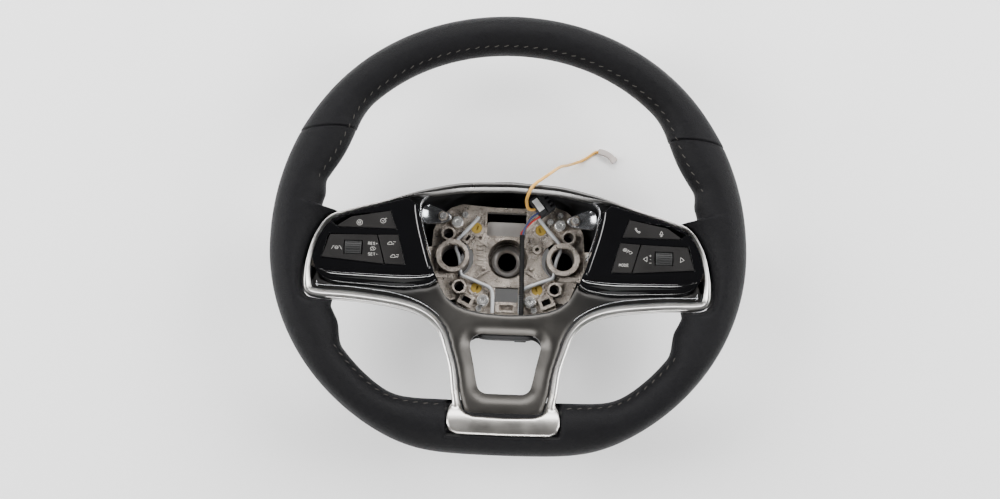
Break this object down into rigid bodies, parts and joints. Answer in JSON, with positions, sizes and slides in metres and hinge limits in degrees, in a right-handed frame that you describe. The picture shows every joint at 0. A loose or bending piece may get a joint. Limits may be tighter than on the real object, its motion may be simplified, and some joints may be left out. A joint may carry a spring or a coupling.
{
  "type": "car steering wheel",
  "caption": "Leather-covered car steering wheel with a flat bottom, three spokes, open die-cast hub and two switch pods, airbag module removed.",
  "frame": {"origin": "on the column axis at the rear face of the column bush", "axes": "+Z along the column axis towards the driver, +Y to twelve o'clock, +X to the driver's right"},
  "size_m": [0.37, 0.3465, 0.1122],
  "materials": {
    "leather": "fine grain, worn satin",
    "cast": "as die-cast, warm grey",
    "steel": "plain machined",
    "foam": "moulded foam",
    "satin": "satin",
    "gunmetal": "fine brushed gunmetal",
    "black_plastic": "fine grained",
    "amber_plastic": "translucent amber",
    "zinc": "zinc plated",
    "sleeve": "ribbed tube",
    "red_wire": "insulated wire",
    "blue_wire": "insulated wire",
    "label": "paper label",
    "orange_wire": "insulated wire",
    "pale_plastic": "moulded",
    "piano_black": "high gloss",
    "key_plastic": "soft matt, printed marks",
    "roller": "ribbed",
    "silicone": "moulded",
    "board": "circuit board",
    "chrome_trim": "bright plated",
    "spring_wire": "drawn wire"
  },
  "bodies": {
    "wheel": {"armature": "cast", "column_bush": "steel", "rim_hoop": "steel", "rim_foam": "foam", "leather_upper": "leather", "leather_lower": "leather", "trim_frame": "satin", "lower_bezel": "gunmetal", "back_cover": "black_plastic", "left_switch_bezel": "piano_black", "right_switch_bezel": "piano_black", "left_key_mat": "silicone", "right_key_mat": "silicone", "left_switch_board": "board", "right_switch_board": "board", "left_switch_housing": "black_plastic", "right_switch_housing": "black_plastic", "left_trim_bracket": "chrome_trim", "right_trim_bracket": "chrome_trim", "left_retaining_spring": "spring_wire", "right_retaining_spring": "spring_wire", "spring_buttons": "amber_plastic", "hex_bolts": "zinc", "small_screws": "zinc", "loom_sleeve": "sleeve", "loom_plug": "black_plastic", "wire_red": "red_wire", "wire_blue": "blue_wire", "connector_housing": "black_plastic", "connector_label": "label", "airbag_lead": "orange_wire", "lead_plug": "pale_plastic"},
    "left_inner_key": {"left_inner_key": "key_plastic"},
    "left_main_key": {"left_main_key": "key_plastic"},
    "left_roller": {"left_roller": "roller"},
    "left_upper_key": {"left_upper_key": "key_plastic"},
    "right_inner_key": {"right_inner_key": "key_plastic"},
    "right_main_key": {"right_main_key": "key_plastic"},
    "right_roller": {"right_roller": "roller"},
    "right_upper_key": {"right_upper_key": "key_plastic"}
  },
  "joints": [
    {"name": "left_upper_key_rock", "type": "hinge", "parent": "wheel", "child": "left_upper_key", "pos_m": [-0.1105, 0.019, 0.0923], "axis": [0, 1, 0], "range_deg": [-2.5, 2.5], "stiffness_Nm_per_rad": 0.05},
    {"name": "left_main_key_rock", "type": "hinge", "parent": "wheel", "child": "left_main_key", "pos_m": [-0.1198, -0.0024, 0.0923], "axis": [0, 1, 0], "range_deg": [-2.5, 2.5], "stiffness_Nm_per_rad": 0.05},
    {"name": "left_inner_key_rock", "type": "hinge", "parent": "wheel", "child": "left_inner_key", "pos_m": [-0.0904, -0.0032, 0.0923], "axis": [1, 0, 0], "range_deg": [-2.5, 2.5], "stiffness_Nm_per_rad": 0.05},
    {"name": "left_roller_spin", "type": "hinge", "parent": "wheel", "child": "left_roller", "pos_m": [-0.1198, -0.0024, 0.0897], "axis": [1, 0, 0], "continuous": true},
    {"name": "right_upper_key_rock", "type": "hinge", "parent": "wheel", "child": "right_upper_key", "pos_m": [0.1105, 0.019, 0.0923], "axis": [0, 1, 0], "range_deg": [-2.5, 2.5], "stiffness_Nm_per_rad": 0.05},
    {"name": "right_main_key_rock", "type": "hinge", "parent": "wheel", "child": "right_main_key", "pos_m": [0.1198, -0.0024, 0.0923], "axis": [0, 1, 0], "range_deg": [-2.5, 2.5], "stiffness_Nm_per_rad": 0.05},
    {"name": "right_inner_key_rock", "type": "hinge", "parent": "wheel", "child": "right_inner_key", "pos_m": [0.0904, -0.0032, 0.0923], "axis": [1, 0, 0], "range_deg": [-2.5, 2.5], "stiffness_Nm_per_rad": 0.05},
    {"name": "right_roller_spin", "type": "hinge", "parent": "wheel", "child": "right_roller", "pos_m": [0.1198, -0.0024, 0.0897], "axis": [1, 0, 0], "continuous": true}
  ]
}
